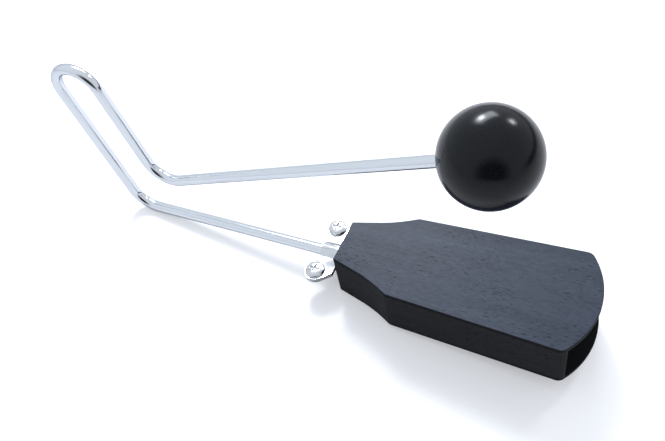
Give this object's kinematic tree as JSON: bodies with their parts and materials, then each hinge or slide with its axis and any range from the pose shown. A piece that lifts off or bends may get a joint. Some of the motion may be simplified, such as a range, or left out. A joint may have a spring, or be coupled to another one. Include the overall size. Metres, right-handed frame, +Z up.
{
  "type": "vibraslap",
  "caption": "Vibraslap: hollow wooden box and wooden ball on the two ends of one bent steel rod; striking the ball makes loose rivets in the box rattle.",
  "frame": {"origin": "middle of the box's underside, halfway between its narrow end and the corners of its open end", "axes": "+X out of the box's open end, along the box arm of the rod; +Z up, from the box towards the ball; the part is symmetric about Y = 0"},
  "size_m": [0.3343, 0.0676, 0.1546],
  "materials": {
    "rod_chrome": "polished chrome plate on a bent steel rod",
    "ball_lacquer": "black lacquer, half gloss, on a turned ball",
    "box_stain": "black stain, satin, with open grain",
    "clamp_plate": "bright nickel plate on pressed sheet steel",
    "fastener_zinc": "bright zinc plate",
    "rivet_steel": "plain bright steel"
  },
  "bodies": {
    "box_and_rod": {"spring_rod": "rod_chrome", "box_top_plate": "box_stain", "box_bottom_plate": "box_stain", "box_left_wall": "box_stain", "box_right_wall": "box_stain", "neck_block": "box_stain", "clamp_saddle": "clamp_plate", "rattle_plate": "clamp_plate", "clamp_screws": "fastener_zinc", "clamp_lock_washers": "fastener_zinc", "clamp_nuts": "fastener_zinc", "neck_screws": "fastener_zinc"},
    "ball": {"wooden_ball": "ball_lacquer"},
    "rivet_1": {"rattle_rivet_1": "rivet_steel"},
    "rivet_2": {"rattle_rivet_2": "rivet_steel"},
    "rivet_3": {"rattle_rivet_3": "rivet_steel"},
    "rivet_4": {"rattle_rivet_4": "rivet_steel"},
    "rivet_5": {"rattle_rivet_5": "rivet_steel"},
    "rivet_6": {"rattle_rivet_6": "rivet_steel"},
    "rivet_7": {"rattle_rivet_7": "rivet_steel"},
    "rivet_8": {"rattle_rivet_8": "rivet_steel"}
  },
  "joints": [
    {"name": "ball_arm_flex", "type": "hinge", "parent": "box_and_rod", "child": "ball", "pos_m": [-0.1886, 0, 0.06684], "axis": [0, 1, 0], "range_deg": [-3, 3], "stiffness_Nm_per_rad": 220, "deforming": ["spring_rod"]},
    {"name": "rivet_1_slide", "type": "slide", "parent": "box_and_rod", "child": "rivet_1", "axis": [0, 0, 1], "range_m": [0, 0.008]},
    {"name": "rivet_2_slide", "type": "slide", "parent": "box_and_rod", "child": "rivet_2", "axis": [0, 0, 1], "range_m": [0, 0.008]},
    {"name": "rivet_3_slide", "type": "slide", "parent": "box_and_rod", "child": "rivet_3", "axis": [0, 0, 1], "range_m": [0, 0.008]},
    {"name": "rivet_4_slide", "type": "slide", "parent": "box_and_rod", "child": "rivet_4", "axis": [0, 0, 1], "range_m": [0, 0.008]},
    {"name": "rivet_5_slide", "type": "slide", "parent": "box_and_rod", "child": "rivet_5", "axis": [0, 0, 1], "range_m": [0, 0.008]},
    {"name": "rivet_6_slide", "type": "slide", "parent": "box_and_rod", "child": "rivet_6", "axis": [0, 0, 1], "range_m": [0, 0.008]},
    {"name": "rivet_7_slide", "type": "slide", "parent": "box_and_rod", "child": "rivet_7", "axis": [0, 0, 1], "range_m": [0, 0.008]},
    {"name": "rivet_8_slide", "type": "slide", "parent": "box_and_rod", "child": "rivet_8", "axis": [0, 0, 1], "range_m": [0, 0.008]}
  ]
}
